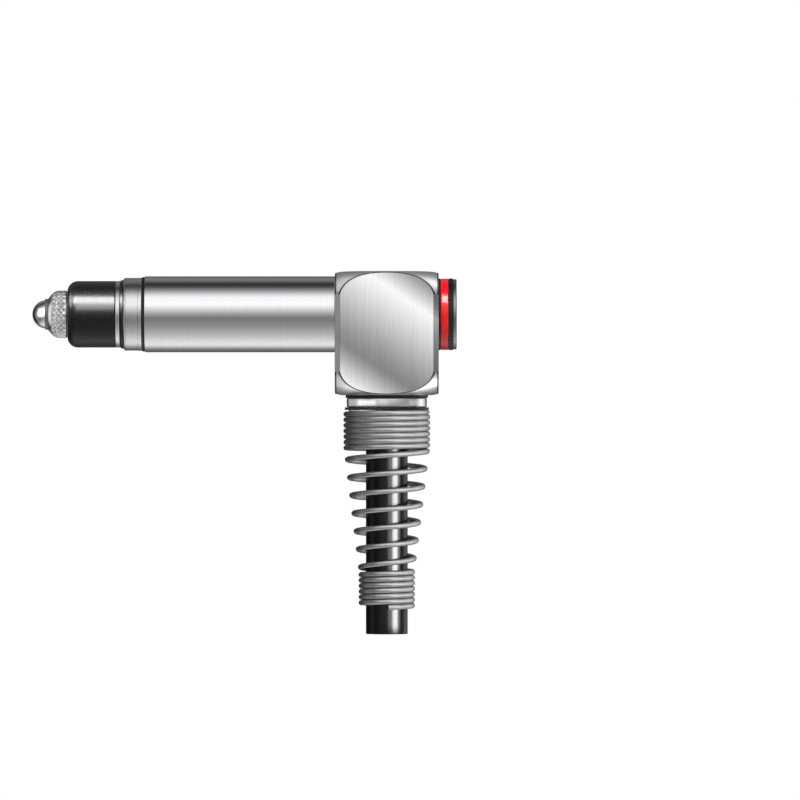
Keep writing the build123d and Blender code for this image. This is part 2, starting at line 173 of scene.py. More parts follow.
def addRings(piece, cuts):
    # cuts across the X axis, so that a sleeve can shorten between them
    editPiece(piece)
    for cut in cuts:
        bpy.ops.mesh.select_all(action="SELECT")
        bpy.ops.mesh.bisect(plane_co=(cut * mm, 0, 0), plane_no=(1, 0, 0))
    bpy.ops.object.mode_set(mode="OBJECT")


def joinPieces(main, other):
    makeActive(main)
    other.select_set(True)
    bpy.ops.object.join()


def cutAway(piece, cutter, operation="DIFFERENCE"):
    applyModifier(piece, "BOOLEAN", object=cutter, operation=operation, solver="EXACT")
    makeActive(cutter)
    bpy.ops.object.delete()


def wireAlong(name, points, radius, around):
    # a round wire with flat cut ends along the points, in mm; a point's fourth value is its share
    # of the radius
    line = bpy.data.curves.new(name, "CURVE")
    line.dimensions = "3D"
    line.bevel_depth = radius * mm
    line.bevel_resolution = around
    line.use_fill_caps = True
    spline = line.splines.new("POLY")
    spline.points.add(len(points) - 1)
    for spot, point in zip(spline.points, points):
        spot.co = (point[0] * mm, point[1] * mm, point[2] * mm, 1)
        spot.radius = point[3] if len(point) > 3 else 1.0
    piece = bpy.data.objects.new(name, line)
    bpy.context.collection.objects.link(piece)
    makeActive(piece)
    bpy.ops.object.convert(target="MESH")
    piece = bpy.context.active_object
    bpy.ops.object.shade_smooth_by_angle(angle=radians(40))
    return piece


def place(piece, material, body, node):
    # the piece is of one material, rides on the body and stands for the node
    piece.data.materials.clear()
    piece.data.materials.append(material)
    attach(piece, body)
    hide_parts(node)


# Materials

def linear(hexText):
    parts = [int(hexText[at:at + 2], 16) / 255 for at in (1, 3, 5)]
    return [c / 12.92 if c <= 0.04045 else ((c + 0.055) / 1.055) ** 2.4 for c in parts] + [1.0]


def addNode(owner, kind, sockets=None, **settings):
    node = owner.node_tree.nodes.new(kind)
    for key, value in settings.items():
        setattr(node, key, value)
    for key, value in (sockets or {}).items():
        if isinstance(value, bpy.types.NodeSocket):
            owner.node_tree.links.new(value, node.inputs[key])
        else:
            node.inputs[key].default_value = value
    return node


def newMaterial(name, sockets):
    material = bpy.data.materials.new(name)
    material.use_nodes = True
    for key, value in sockets.items():
        material.node_tree.nodes["Principled BSDF"].inputs[key].default_value = value
    return material


def grain(material, size, detail=3.0):
    # noise in grains of size = (x, y, z) mm
    spot = addNode(material, "ShaderNodeTexCoord")
    scaled = addNode(material, "ShaderNodeMapping", {
        "Vector": spot.outputs["Object"], "Scale": [1 / (edge * mm) for edge in size]})
    noise = addNode(material, "ShaderNodeTexNoise", {
        "Vector": scaled.outputs["Vector"], "Scale": 1.0, "Detail": detail, "Roughness": 0.6})
    return noise.outputs["Fac"]


def fromAxis(material, upright):
    # where a point lies from the probe's axis, or from the cable's upright one
    spot = addNode(material, "ShaderNodeTexCoord")
    return addNode(material, "ShaderNodeMapping", {
        "Vector": spot.outputs["Object"],
        "Location": (-cableX * mm if upright else 0, 0, 0)}).outputs["Vector"]


def latheLines(material, upright, spacing):
    # rings round the probe's axis, or round the cable's, as a lathe tool leaves them
    split = addNode(material, "ShaderNodeSeparateXYZ", {"Vector": fromAxis(material, upright)})
    first, along = ("X", "Z") if upright else ("Z", "X")
    across = addNode(material, "ShaderNodeCombineXYZ", {
        "X": split.outputs[first], "Y": split.outputs["Y"]})
    radius = addNode(material, "ShaderNodeVectorMath", {0: across.outputs[0]}, operation="LENGTH")
    unrolled = addNode(material, "ShaderNodeCombineXYZ", {
        "X": radius.outputs["Value"], "Y": split.outputs[along]})
    noise = addNode(material, "ShaderNodeTexNoise", {
        "Vector": unrolled.outputs[0], "Scale": 1 / (spacing * mm), "Detail": 3.0,
        "Roughness": 0.6})
    return noise.outputs["Fac"]


def finish(material, pattern, shades, roughness, depth=0.0, span=(0.3, 0.7)):
    # the pattern's low and high take the two sRGB shades and the two roughnesses, and a depth in
    # mm makes it a relief as well; a colour mix has its share at 0 and its colours at 6 and 7
    shader = material.node_tree.nodes["Principled BSDF"]
    even = addNode(material, "ShaderNodeMapRange", {
        "Value": pattern, "From Min": span[0], "From Max": span[1]}).outputs["Result"]
    colour = addNode(material, "ShaderNodeMix", {
        0: even, 6: linear(shades[0]), 7: linear(shades[1])}, data_type="RGBA")
    gloss = addNode(material, "ShaderNodeMapRange", {
        "Value": even, "To Min": roughness[0], "To Max": roughness[1]})
    material.node_tree.links.new(colour.outputs[2], shader.inputs["Base Color"])
    material.node_tree.links.new(gloss.outputs["Result"], shader.inputs["Roughness"])
    if not depth:
        return None
    relief = addNode(material, "ShaderNodeBump", {"Height": pattern, "Distance": depth * mm})
    material.node_tree.links.new(relief.outputs["Normal"], shader.inputs["Normal"])
    return relief


def groundStainlessSteel():
    # centreless-ground tube: bright, with faint lines round it from the grinding wheel
    material = newMaterial("groundStainlessSteel", {"Metallic": 1.0})
    lines = grain(material, (0.11, 40, 40))  # real lines are near 0.01 mm, drawn coarser to show
    finish(material, lines, ("#D6D6DA", "#DFDFE1"), (0.17, 0.21), 0.0002)
    return material


def turnedSteel():
    # stainless turned on a lathe: softer lustre than the ground tube, with tool lines
    material = newMaterial("turnedStainlessSteel", {"Metallic": 1.0})
    lines = latheLines(material, False, 0.09)
    finish(material, lines, ("#D2D2D4", "#DADADC"), (0.22, 0.3), 0.0006)
    return material


def darkTurnedSteel():
    # martensitic stainless, turned and left from the tool: a darker lustre than the tube's
    material = newMaterial("darkTurnedSteel", {"Metallic": 1.0})
    lines = latheLines(material, False, 0.12)
    finish(material, lines, ("#8A8B8E", "#A2A3A6"), (0.29, 0.38), 0.0006)
    return material


def turnedUprightSteel():
    # turned stainless with its lines round the cable's axis: a little brighter than the bush
    material = newMaterial("turnedUprightSteel", {"Metallic": 1.0})
    lines = latheLines(material, True, 0.09)
    finish(material, lines, ("#D8D8DA", "#E0E0E2"), (0.2, 0.28), 0.0005)
    return material


def linishedSteel():
    # block faces linished along their height: fine upright lines over a face never quite flat
    material = newMaterial("linishedStainlessSteel", {"Metallic": 1.0})
    # the belt leaves the face very slightly crowned, between two soft creases that cross it
    # aslant; tilt is a slope, crown and the two turns are curvatures per metre, the rest is in mm
    face = {"lean": (0.56, 0.0, 0.83), "middle": 6.992, "tilt": 0.042, "crown": 48.0,
            "upper": 4.07, "upperTurn": 165.0, "lower": -3.4, "lowerTurn": 150.0}
    spot = addNode(material, "ShaderNodeTexCoord")
    lean = addNode(material, "ShaderNodeVectorMath", {
        0: spot.outputs["Object"], 1: face["lean"]}, operation="DOT_PRODUCT")
    across = addNode(material, "ShaderNodeMath", {
        0: lean.outputs["Value"], 1: face["middle"] * mm}, operation="SUBTRACT").outputs[0]
    height = addNode(material, "ShaderNodeMath", {
        0: across, 1: -face["tilt"]}, operation="MULTIPLY").outputs[0]
    bends = [(None, 1, -face["crown"]), (face["upper"], 1, face["upperTurn"]),
             (face["lower"], -1, face["lowerTurn"])]
    for start, sign, bend in bends:
        reach = across
        if start is not None:
            past = addNode(material, "ShaderNodeMath", {
                0: across, 1: sign, 2: -sign * start * mm}, operation="MULTIPLY_ADD")
            reach = addNode(material, "ShaderNodeMath", {
                0: past.outputs[0], 1: 0.0}, operation="MAXIMUM").outputs[0]
        squared = addNode(material, "ShaderNodeMath", {0: reach, 1: reach}, operation="MULTIPLY")
        height = addNode(material, "ShaderNodeMath", {
            0: squared.outputs[0], 1: bend / 2, 2: height}, operation="MULTIPLY_ADD").outputs[0]
    rounded = addNode(material, "ShaderNodeBump", {"Height": height, "Distance": 1.0})
    lines = grain(material, (0.1, 0.1, 6.0), 4.0)  # real scratches are near 0.02 mm, drawn coarser
    fine = finish(material, lines, ("#E4E4E6", "#EEEEF0"), (0.22, 0.26), 0.00012)
    material.node_tree.links.new(rounded.outputs["Normal"], fine.inputs["Normal"])
    return material


def turnedCrownSteel():
    # the block's ends and corners, turned round the cable's axis: fine rings with a softer gloss
    # than its faces have
    material = newMaterial("turnedCrownSteel", {"Metallic": 1.0})
    lines = latheLines(material, True, 0.13)
    finish(material, lines, ("#E2E2E4", "#F2F2F3"), (0.3, 0.38), 0.0006)
    # a thin dark arc is painted along the edge against each flat face: painted shade that outlines
    # the face where it meets the crown
    edge = {"from": 5.24, "to": 5.32, "shade": "#5C5D60"}
    away = addNode(material, "ShaderNodeVectorMath", {
        0: fromAxis(material, True)}, operation="ABSOLUTE")
    split = addNode(material, "ShaderNodeSeparateXYZ", {"Vector": away.outputs["Vector"]})
    reach = addNode(material, "ShaderNodeMath", {
        0: split.outputs["X"], 1: split.outputs["Y"]}, operation="MAXIMUM")
    edgeShadeMask = addNode(material, "ShaderNodeMapRange", {
        "Value": reach.outputs[0], "From Min": edge["from"] * mm, "From Max": edge["to"] * mm})
    colour = material.node_tree.nodes["Principled BSDF"].inputs["Base Color"]
    mixed = addNode(material, "ShaderNodeMix", {
        0: edgeShadeMask.outputs["Result"], 6: colour.links[0].from_socket, 7: linear(edge["shade"])},
        data_type="RGBA")
    material.node_tree.links.new(mixed.outputs[2], colour)
    return material


def edgeShadeSteel():
    # the block's small bevels, painted very dark and dull: thin lines of painted shade that
    # outline its faces
    material = newMaterial("paintedEdgeShadeSteel", {"Metallic": 1.0})
    finish(material, grain(material, (0.2, 0.2, 0.2)), ("#2C2D2F", "#434446"), (0.4, 0.55))
    return material


def knurledSteel():
    # nickel-plated knurl: small bright flanks
    material = newMaterial("nickelPlatedKnurl", {"Metallic": 1.0})
    finish(material, grain(material, (0.3, 0.3, 0.3)), ("#D0D0CE", "#E4E4E2"), (0.34, 0.44))
    return material


def paintedLipShadeSteel():
    # the holder's lip, rolled over the ball: dull, and painted dark as the shade in the gap
    # between the ball and the holder
    material = newMaterial("paintedLipShadeSteel", {"Metallic": 1.0})
    finish(material, grain(material, (0.3, 0.3, 0.3)), ("#7C7D80", "#8E8F92"), (0.5, 0.6))
    return material


def knurledBand():
    # the bush's very shallow rolled knurl: nearly the tube's lustre, a little broken up
    material = newMaterial("rolledFineKnurl", {"Metallic": 1.0})
    finish(material, grain(material, (0.3, 0.3, 0.3)), ("#CECECF", "#DADADB"), (0.2, 0.28))
    return material


def springWire():
    # drawn stainless wire: an even satin grey, with die lines too fine to see
    material = newMaterial("drawnStainlessWire", {"Metallic": 1.0})
    finish(material, grain(material, (0.5, 0.5, 0.12)), ("#B8B8B8", "#C8C8C8"), (0.35, 0.42))
    return material


def polishedCarbide():
    # lapped tungsten carbide: a bright grey with a soft mirror
    material = newMaterial("lappedCarbide", {"Metallic": 1.0})
    finish(material, grain(material, (0.4, 0.4, 0.4)), ("#D8D8DC", "#DCDCE0"), (0.18, 0.23))
    return material


def mouldedRubber():
    # fluoro rubber sleeve out of a polished mould: black with a broad gloss
    material = newMaterial("mouldedFluoroRubber", {"IOR": 1.5, "Specular IOR Level": 0.36})
    mottle = grain(material, (0.35, 0.35, 0.35))
    finish(material, mottle, ("#030303", "#070707"), (0.24, 0.28), 0.0005)
    return material


def sealRubber():
    # moulded nitrile rings: black with a dull satin
    material = newMaterial("mouldedNitrileRubber", {"IOR": 1.5})
    finish(material, grain(material, (0.2, 0.2, 0.2)), ("#0B0B0B", "#171717"), (0.42, 0.6), 0.002)
    return material


def redAcetal():
    # moulded acetal marker ring: clear red with a gloss
    material = newMaterial("mouldedRedAcetal", {"IOR": 1.48})
    finish(material, grain(material, (0.5, 0.5, 0.5)), ("#B60E16", "#C6141C"), (0.15, 0.19))
    return material


def extrudedPolyurethane():
    # cable jacket out of a smooth die: black, glossy, with the faintest draw lines
    material = newMaterial("extrudedPolyurethane", {"IOR": 1.5, "Specular IOR Level": 0.36})
    lines = grain(material, (0.25, 0.25, 8.0))
    finish(material, lines, ("#050506", "#0B0B0C"), (0.2, 0.24), 0.0005)
    return material


def plainFinish(name, dark, light, sockets, rough, size, depth=0.001):
    # for pieces that sit inside the probe or show only in the cable's cut end
    spread = 0.15  # share by which the roughness varies to either side
    material = newMaterial(name, sockets)
    roughness = (rough * (1 - spread), rough * (1 + spread))
    finish(material, grain(material, size), (dark, light), roughness, depth)
    return material


ground = groundStainlessSteel()
turnedMetal = turnedSteel()
turnedUpright = turnedUprightSteel()
seal = sealRubber()
holderKnurl = knurledSteel()
bandKnurl = knurledBand()
blockFace = linishedSteel()
blockCrown = turnedCrownSteel()
wireSteel = springWire()
carbide = polishedCarbide()
gaiterRubber = mouldedRubber()
markerRed = redAcetal()
jacketBlack = extrudedPolyurethane()
print("materials for the outside made")


# Camera and cable

def addCamera():
    # level and far off on a long lens, as the photograph shows the probe
    camera = {"lens": 400, "across": 16.84, "away": 935.6, "height": -9.02, "clipStart": 10}
    bpy.ops.object.camera_add(
        location=(camera["across"] * mm, -camera["away"] * mm, camera["height"] * mm),
        rotation=(pi / 2, 0, 0))
    standing = bpy.context.active_object
    standing.data.lens = camera["lens"]
    standing.data.clip_start = camera["clipStart"] * mm
    bpy.context.scene.camera = standing


def addCable():
    cable = {"radius": 2.2, "wall": 0.45, "edge": 0.05, "exit": -13.974, "length": 30.039,
             "route": [-3.6, -13.5, -23.5, -33.639], "around": 30}
    route = bpy.data.curves.new("cableJacket", "CURVE")
    route.dimensions = "3D"
    spline = route.splines.new("NURBS")
    spline.points.add(len(cable["route"]) - 1)
    for spot, height in zip(spline.points, cable["route"]):
        spot.co = (cableX * mm, 0, height * mm, 1)
    spline.order_u = 3
    spline.use_endpoint_u = True
    piece = bpy.data.objects.new("cableJacket", route)
    bpy.context.collection.objects.link(piece)
    # the path is the bare line, read before the route gets its thickness
    line = bpy.data.meshes.new_from_object(piece)
    bpy.data.meshes.remove(line)
    route.bevel_depth = cable["radius"] * mm
    route.bevel_resolution = cable["around"]
    makeActive(piece)
    bpy.ops.object.convert(target="MESH")
    piece = bpy.context.active_object
    editPiece(piece, "VERT")
    bpy.ops.mesh.select_all(action="SELECT")
    bpy.ops.mesh.remove_doubles(threshold=samePoint)
    bpy.ops.mesh.normals_make_consistent(inside=False)
    bpy.ops.object.mode_set(mode="OBJECT")
    applyModifier(piece, "SOLIDIFY", thickness=cable["wall"] * mm, offset=-1)
    softenEdges(piece, cable["edge"])
    place(piece, jacketBlack, "housing", "cable_jacket")


addCamera()
addCable()
print("camera and cable made")


# Contact end: ball, knurled holder and gaiter

def knurledRing(name, rows, columns, depth, wall):
    # rows are (along, radius) at the valleys, and every edge of the grid becomes one pyramid
    facesOut = 0.3  # least share of a face's normal that points away from the axis
    ring = turned(name, rows + [(x, r - wall) for x, r in reversed(rows)], segments=columns)

    def isOutside(face):
        centre = face.calc_center_median()
        return face.normal.dot(Vector((0, centre.y, centre.z)).normalized()) > facesOut

    editPiece(ring)
    selectWhere(ring, "edges", lambda e: all(isOutside(f) for f in e.link_faces))
    bpy.ops.mesh.mark_seam()
    bpy.ops.mesh.select_mode(type="FACE")
    bpy.ops.mesh.select_all(action="DESELECT")
    selectWhere(ring, "faces", isOutside)
    bpy.ops.mesh.poke()
    bpy.ops.mesh.select_mode(type="EDGE")
    bpy.ops.mesh.select_all(action="DESELECT")
    selectWhere(ring, "edges", lambda e: e.seam)
    bpy.ops.mesh.dissolve_edges(use_verts=False)
    bpy.ops.mesh.select_mode(type="FACE")
    bpy.ops.mesh.select_all(action="DESELECT")
    selectWhere(ring, "faces", lambda f: len(f.verts) == 4 and isOutside(f))
    bpy.ops.mesh.poke(offset=depth * mm)
    bpy.ops.object.mode_set(mode="OBJECT")
    bpy.ops.object.shade_flat()
    return ring


def addContactBall():
    ball = {"centre": -20.35, "radius": 1.5, "steps": 64}
    arc = [(ball["centre"] - ball["radius"] * cos(pi * step / ball["steps"]),
            ball["radius"] * sin(pi * step / ball["steps"])) for step in range(ball["steps"] + 1)]
    piece = turned("contactBall", arc, segments=120)
    makeActive(piece)
    bpy.ops.object.shade_smooth()
    place(piece, carbide, "plunger", "contact_ball")


def addContactHolder():
    holder = {"seat": 1.51, "seatCentre": -20.35, "seatAngle": 95.7, "seatSteps": 16,
              "lip": [(-20.5, 1.6225), (-20.21, 1.6225), (-20.12, 1.735)],
              "cone": [(-19.78, 2.16), (-19.75, 2.12)],
              "core": [(-19.5, 2.24), (-19.28, 2.36), (-18.3, 2.36)],  # under the knurl
              "rim": [(-18.25, 2.5), (-18.2, 2.44)],
              "stud": [(-18.2, 1.25), (-14.2, 1.25), (-14.2, 0)],
              "soft": 0.03,
              "knurl": [(-19.76, 2.12), (-19.28, 2.43), (-18.77, 2.44), (-18.26, 2.44)],
              "columns": 28, "depth": 0.1, "wall": 0.3}
    reach, steps = radians(holder["seatAngle"]), holder["seatSteps"]
    swing = [reach * step / steps for step in range(steps + 1)]
    seat = [(holder["seatCentre"] + holder["seat"] * cos(angle), holder["seat"] * sin(angle))
            for angle in swing]
    outline = seat + outlineOf(holder, "lip", "cone", "core", "rim", "stud")
    body = turned("contactHolder", outline, segments=144)
    softenEdges(body, holder["soft"], segments=2)
    grip = knurledRing("holderGrip", holder["knurl"], holder["columns"], holder["depth"],
                       holder["wall"])
    lipEnd = holder["lip"][-1][0] * mm
    body.data.materials.append(turnedMetal)
    body.data.materials.append(paintedLipShadeSteel())
    editPiece(body, "FACE")
    selectWhere(body, "faces", lambda f: f.calc_center_median().x < lipEnd)
    # slot 1 paints the lip dark, as shade between ball and holder
    body.active_material_index = 1  # the rolled lip
    bpy.ops.object.material_slot_assign()
    bpy.ops.object.mode_set(mode="OBJECT")
    grip.data.materials.append(holderKnurl)
    joinPieces(body, grip)
    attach(body, "plunger")
    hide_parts("contact_holder")


def addGaiter():
    # places along the axis, then radii, then the roundings of its corners
    gaiter = {"front": -18.15, "pocket": -17.85, "hollow": -17.45, "groove": -13.09,
              "beadFront": -12.55, "rear": -12.25,
              "body": 3.5, "mouth": 2.02, "shaft": 1.77, "inner": 3.05, "seat": 2.92, "bead": 3.6,
              "waist": 3.21,
              "nose": 1.1, "inside": 0.45, "edge": 0.08, "grooveEdge": 0.05,
              "rings": [-17.3, -16.9, -16.5, -16.1, -15.7, -15.3, -14.9, -14.5, -14.1, -13.7,
                        -13.35]}
    front, pocket, hollow = gaiter["front"], gaiter["pocket"], gaiter["hollow"]
    groove, beadFront, rear = gaiter["groove"], gaiter["beadFront"], gaiter["rear"]
    body, mouth, shaft, inner = gaiter["body"], gaiter["mouth"], gaiter["shaft"], gaiter["inner"]
    seat, bead, waist = gaiter["seat"], gaiter["bead"], gaiter["waist"]
    piece = turned("gaiterSleeve", [
        (front, body), (front, mouth), (pocket, mouth), (pocket, shaft), (hollow, shaft),
        (hollow, inner), (groove, inner), (groove, seat), (rear, seat), (rear, bead),
        (beadFront, bead), (beadFront, waist), (groove, waist), (groove, body)], segments=192)
    for along, radius, width, segments in [
            (front, body, gaiter["nose"], 12), (hollow, inner, gaiter["inside"], 6),
            (rear, bead, gaiter["edge"], 3), (beadFront, bead, gaiter["edge"], 3),
            (groove, body, gaiter["grooveEdge"], 3), (front, mouth, gaiter["edge"], 3)]:
        roundCorner(piece, along, radius, width, segments)
    addRings(piece, gaiter["rings"])
    smoothFaces(piece)
    piece.data.materials.append(gaiterRubber)
    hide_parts("gaiter")
    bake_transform(piece)


def addClampRing():
    ring = {"from": -13.07, "to": -12.57, "radius": 3.5, "bore": 3.23, "soft": 0.09}
    piece = squareRing("gaiterClampRing", ring)
    place(piece, turnedMetal, "housing", "gaiter_clamp_ring")


def addFrontBush():
    bush = {"nose": [(-13.85, 2.15), (-13.85, 2.9), (-12.25, 2.9)],
            "lip": [(-12.25, 3.68), (-12.09, 3.84), (-11.98, 3.84)],
            "core": [(-11.95, 3.72), (-10.72, 3.72)],  # under the knurl
            "rim": [(-10.69, 3.84), (-10.3, 3.84)],
            "sealSeat": [(-10.3, 3.25), (-10.0, 3.25)],
            "plug": [(-10.0, 3.43), (-7.85, 3.43), (-7.85, 2.15)],
            "soft": 0.04,
            "knurl": [(-11.96, 3.815), (-11.706, 3.82), (-11.452, 3.82), (-11.198, 3.82),
                      (-10.944, 3.82), (-10.7, 3.815)],
            "columns": 96, "depth": 0.007, "wall": 0.2}
    outline = outlineOf(bush, "nose", "lip", "core", "rim", "sealSeat", "plug")
    body = turned("frontBush", outline, segments=192)
    softenEdges(body, bush["soft"], segments=2)
    band = knurledRing("bushBand", bush["knurl"], bush["columns"], bush["depth"], bush["wall"])
    body.data.materials.append(turnedMetal)
    band.data.materials.append(bandKnurl)
    joinPieces(body, band)
    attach(body, "housing")
    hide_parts("front_bush")


def addFrontSeal():
    ring = {"from": -10.31, "to": -9.99, "radius": 3.92, "bore": 3.27, "soft": 0.1}
    piece = squareRing("frontSealRing", ring)
    place(piece, seal, "housing", "front_seal_ring")


addContactBall()
addContactHolder()
addGaiter()
addClampRing()
addFrontBush()
addFrontSeal()
print("contact end made")


# Stem tube, block and rear end

def addStemTube():
    stem = {"bore": 3.45, "tube": [(-10, 4.0), (10.0, 4.0)], "insert": [(10.0, 3.8), (12.8, 3.8)],
            "soft": 0.06}
    front, rear = stem["tube"][0][0], stem["insert"][-1][0]
    outline = outlineOf(stem, "tube", "insert")
    piece = turned("stemTube", [(front, stem["bore"])] + outline + [(rear, stem["bore"])],
                   segments=256)
    softenEdges(piece, stem["soft"])
    place(piece, ground, "housing", "stem_tube")


def addOutletBlock():
    block = {"width": 10.9, "top": 4.5, "bottom": -8.53, "corner": 0.55, "edge": 0.12,
             "turned": 7.359, "round": 2.9, "steps": 14,
             "probeBore": [(9.5, 0), (9.5, 3.82), (12.8, 3.82), (12.8, 3.65), (18.35, 3.65),
                           (18.35, 3.32), (21.4, 3.32), (21.4, 0)],
             "glandBore": [(0, 0), (0, 2.5), (-5.4, 2.5), (-5.4, 3.42), (-9.0, 3.42), (-9.0, 0)]}
    upright = 0.02  # most that an upright face's normal may lean, as its share along Z
    tall = 1.0  # mm that only the block's upright edges rise
    width, top, bottom = block["width"], block["top"], block["bottom"]
    bpy.ops.mesh.primitive_cube_add(size=1)
    piece = bpy.context.active_object
    piece.name = piece.data.name = "outletBlock"
    bpy.ops.object.mode_set(mode="EDIT")
    bpy.ops.transform.resize(value=(width * mm, width * mm, (top - bottom) * mm))
    bpy.ops.transform.translate(value=(cableX * mm, 0, (top + bottom) / 2 * mm))
    bpy.ops.mesh.select_mode(type="EDGE")
    bpy.ops.mesh.select_all(action="DESELECT")
    selectWhere(piece, "edges", lambda e: abs(e.verts[0].co.z - e.verts[1].co.z) > tall * mm)
    bpy.ops.mesh.bevel(offset=block["corner"] * mm, segments=1, affect="EDGES")
    bpy.ops.object.mode_set(mode="OBJECT")
    turns = [pi / 2 * step / block["steps"] for step in range(block["steps"] + 1)]
    drops = [block["round"] * (1 - sin(turn)) for turn in turns]
    reaches = [block["turned"] - block["round"] * (1 - cos(turn)) for turn in turns]
    upper = [(top - drop, reach) for drop, reach in zip(drops, reaches)]
    lower = [(bottom + drop, reach) for drop, reach in zip(drops, reaches)]
    # what a square block and a turned form with rounded ends share keeps arcs on its flat faces
    crown = turned("crown", [(top, 0)] + upper[::-1] + lower + [(bottom, 0)], "Z", segments=288)
    cutAway(piece, crown, "INTERSECT")
    piece.data.materials.clear()
    piece.data.materials.append(blockFace)
    piece.data.materials.append(blockCrown)
    # the third material paints the block's bevels dark, as shade outlining its faces
    piece.data.materials.append(edgeShadeSteel())
    editPiece(piece, "FACE")
    selectWhere(piece, "faces", lambda f: abs(f.normal.z) > upright)
    piece.active_material_index = 1  # the turned crown
    bpy.ops.object.material_slot_assign()
    bpy.ops.object.mode_set(mode="OBJECT")
    softenEdges(piece, block["edge"], angle=20, material=2)
    cutAway(piece, turned("probeBore", block["probeBore"]))
    cutAway(piece, turned("glandBore", block["glandBore"], "Z"))
    smoothFaces(piece)
    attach(piece, "housing")
    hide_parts("outlet_block")


def addRearRings():
    # the red marker ring between two black seals
    inner = {"from": 20.9, "to": 21.1, "radius": 3.775, "bore": 3.32, "soft": 0.07}
    marker = {"from": 21.1, "to": 21.95, "radius": 3.75, "bore": 3.32, "soft": 0.1}
    outer = {"from": 21.95, "to": 22.42, "radius": 3.775, "bore": 3.32, "soft": 0.09}
    piece = squareRing("rearSealRingInner", inner)
    place(piece, seal, "housing", "rear_seal_ring_inner")
    piece = squareRing("markerRing", marker)
    place(piece, markerRed, "housing", "marker_ring")
    piece = squareRing("rearSealRingOuter", outer)
    place(piece, seal, "housing", "rear_seal_ring_outer")


def addRearPlug():
    plug = {"start": 18.35, "front": 22.42, "rear": 22.8, "shank": 3.3, "head": 3.7,
            "rim": 0.14, "frontRim": 0.06, "dimple": 0.6, "dimpleDepth": 0.6}
    start, front, rear = plug["start"], plug["front"], plug["rear"]
    shank, head = plug["shank"], plug["head"]
    piece = turned("rearPlug", [
        (start, 0), (start, shank), (front, shank), (front, head), (rear, head),
        (rear, plug["dimple"]), (rear - plug["dimpleDepth"], 0)], segments=192)
    roundCorner(piece, rear, head, plug["rim"], 6)
    roundCorner(piece, front, head, plug["frontRim"], 4)
    smoothFaces(piece)
    place(piece, darkTurnedSteel(), "housing", "rear_plug")


addStemTube()
addOutletBlock()
addRearRings()
addRearPlug()
print("tube, block and rear end made")


# Cable outlet: seal, gland and springs

def addCollarSeal():
    ring = {"from": -8.53, "to": -8.8, "radius": 4.35, "bore": 3.42, "soft": 0.09}
    piece = squareRing("collarSeal", ring, "Z")
    place(piece, seal, "housing", "collar_seal")


def addGland():
    # heights, then radii, then the roundings of its corners
    gland = {"top": -6.8, "shoulder": -8.8, "ledge": -9.78, "bottom": -13.974,
             "bore": 2.3, "thread": 3.4, "collar": 4.22, "spigot": 3.985,
             "edge": 0.12, "spigotEdge": 0.3, "shadeRingSunk": 0.05}
    top, shoulder, ledge, bottom = gland["top"], gland["shoulder"], gland["ledge"], gland["bottom"]
    bore, thread, collar, spigot = gland["bore"], gland["thread"], gland["collar"], gland["spigot"]
    piece = turned("cableGland", [
        (top, bore), (top, thread), (shoulder, thread), (shoulder, collar), (ledge, collar),
        (ledge, spigot), (bottom, spigot), (bottom, bore)], "Z", segments=192)
    roundCorner(piece, shoulder, collar, gland["edge"], 4, "Z")
    roundCorner(piece, ledge, collar, gland["edge"], 4, "Z")
    roundCorner(piece, bottom, spigot, gland["spigotEdge"], 5, "Z")
    roundCorner(piece, bottom, bore, gland["edge"], 4, "Z")
    smoothFaces(piece)
    # a thin black ring under the collar, a little into the spigot: painted shade that the collar
    # casts on the spring's top turn, not a real part
    shadeRing = {"from": -9.79, "to": -10.07, "radius": 4.42, "bore": spigot - gland["shadeRingSunk"],
                "soft": 0.06}
    seat = squareRing("springSeatRing", shadeRing, "Z")
    piece.data.materials.append(turnedUpright)
    seat.data.materials.append(seal)
    joinPieces(piece, seat)
    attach(piece, "housing")
    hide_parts("gland_body")


def addReliefSpring():
    relief = {"wire": 0.285, "top": -10.365, "large": 4.29, "small": 2.695,
              "closed": 0.59, "open": 1.887, "taperFrom": 6.6, "taperTurns": 6.95, "steps": 44,
              "endTurns": 0.5, "endShare": 0.6,
              "zones": [(6.6, "closed", "closed"), (0.3, "closed", "open"), (6.35, "open", "open"),
                        (0.3, "open", "closed"), (6.44, "closed", "closed")]}
    turn, height, points = 0.0, relief["top"], []
    # the wire starts behind, where its end is ground thinner just under the black ring of painted
    # shade
    endSteps = round(relief["endTurns"] * relief["steps"])
    for step in range(endSteps + 1):
        share = relief["endShare"] + (1 - relief["endShare"]) * step / endSteps
        angle = -pi / 2 + 2 * pi * relief["endTurns"] * (1 - step / endSteps)
        points.append((cableX + relief["large"] * cos(angle), relief["large"] * sin(angle),
                       height + relief["wire"] * (1 - share), share))
    for turns, first, last in relief["zones"]:
        pitch, lastPitch = relief[first], relief[last]
        steps = round(turns * relief["steps"])
        for step in range(1, steps + 1):
            part = step / steps
            here = turn + turns * part
            taper = min(max((here - relief["taperFrom"]) / relief["taperTurns"], 0), 1)
            radius = relief["large"] + (relief["small"] - relief["large"]) * taper
            angle = -pi / 2 - 2 * pi * here
            drop = turns * part * (pitch + (lastPitch - pitch) * part / 2)
            points.append((cableX + radius * cos(angle), radius * sin(angle), height - drop))
        turn += turns
        height -= turns * (pitch + lastPitch) / 2
    piece = wireAlong("strainReliefSpring", points, relief["wire"], around=6)
    place(piece, wireSteel, "housing", "strain_relief_spring")


